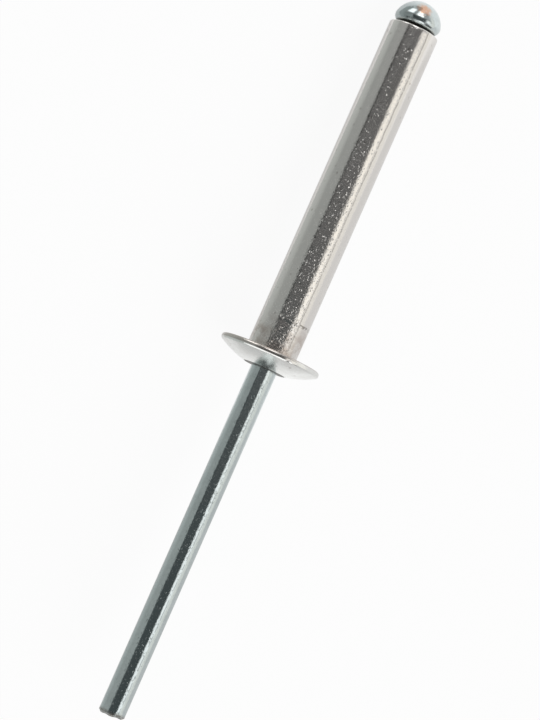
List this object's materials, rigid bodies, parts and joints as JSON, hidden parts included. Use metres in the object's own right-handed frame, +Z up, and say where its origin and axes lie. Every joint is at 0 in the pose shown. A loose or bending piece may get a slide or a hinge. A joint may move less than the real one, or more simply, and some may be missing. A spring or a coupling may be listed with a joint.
{
  "type": "blind rivet",
  "caption": "Unset blind rivet: a straight sleeve with a wide domed flange on a long round-headed mandrel.",
  "frame": {"origin": "on the surface that the rivet lies on, under the middle of its length", "axes": "+X along the lying rivet from the mandrel's cut tip toward its round head, +Z up from the surface"},
  "size_m": [0.0718, 0.0096, 0.0097],
  "materials": {
    "rivet_aluminium": "drawn and cold-headed, bright but finely pitted, with drawing lines along the sleeve",
    "mandrel_steel": "bright zinc plating on drawn steel wire, smooth, faintly green-grey"
  },
  "bodies": {
    "root": {"rivet_body": "rivet_aluminium", "mandrel": "mandrel_steel"}
  },
  "joints": []
}
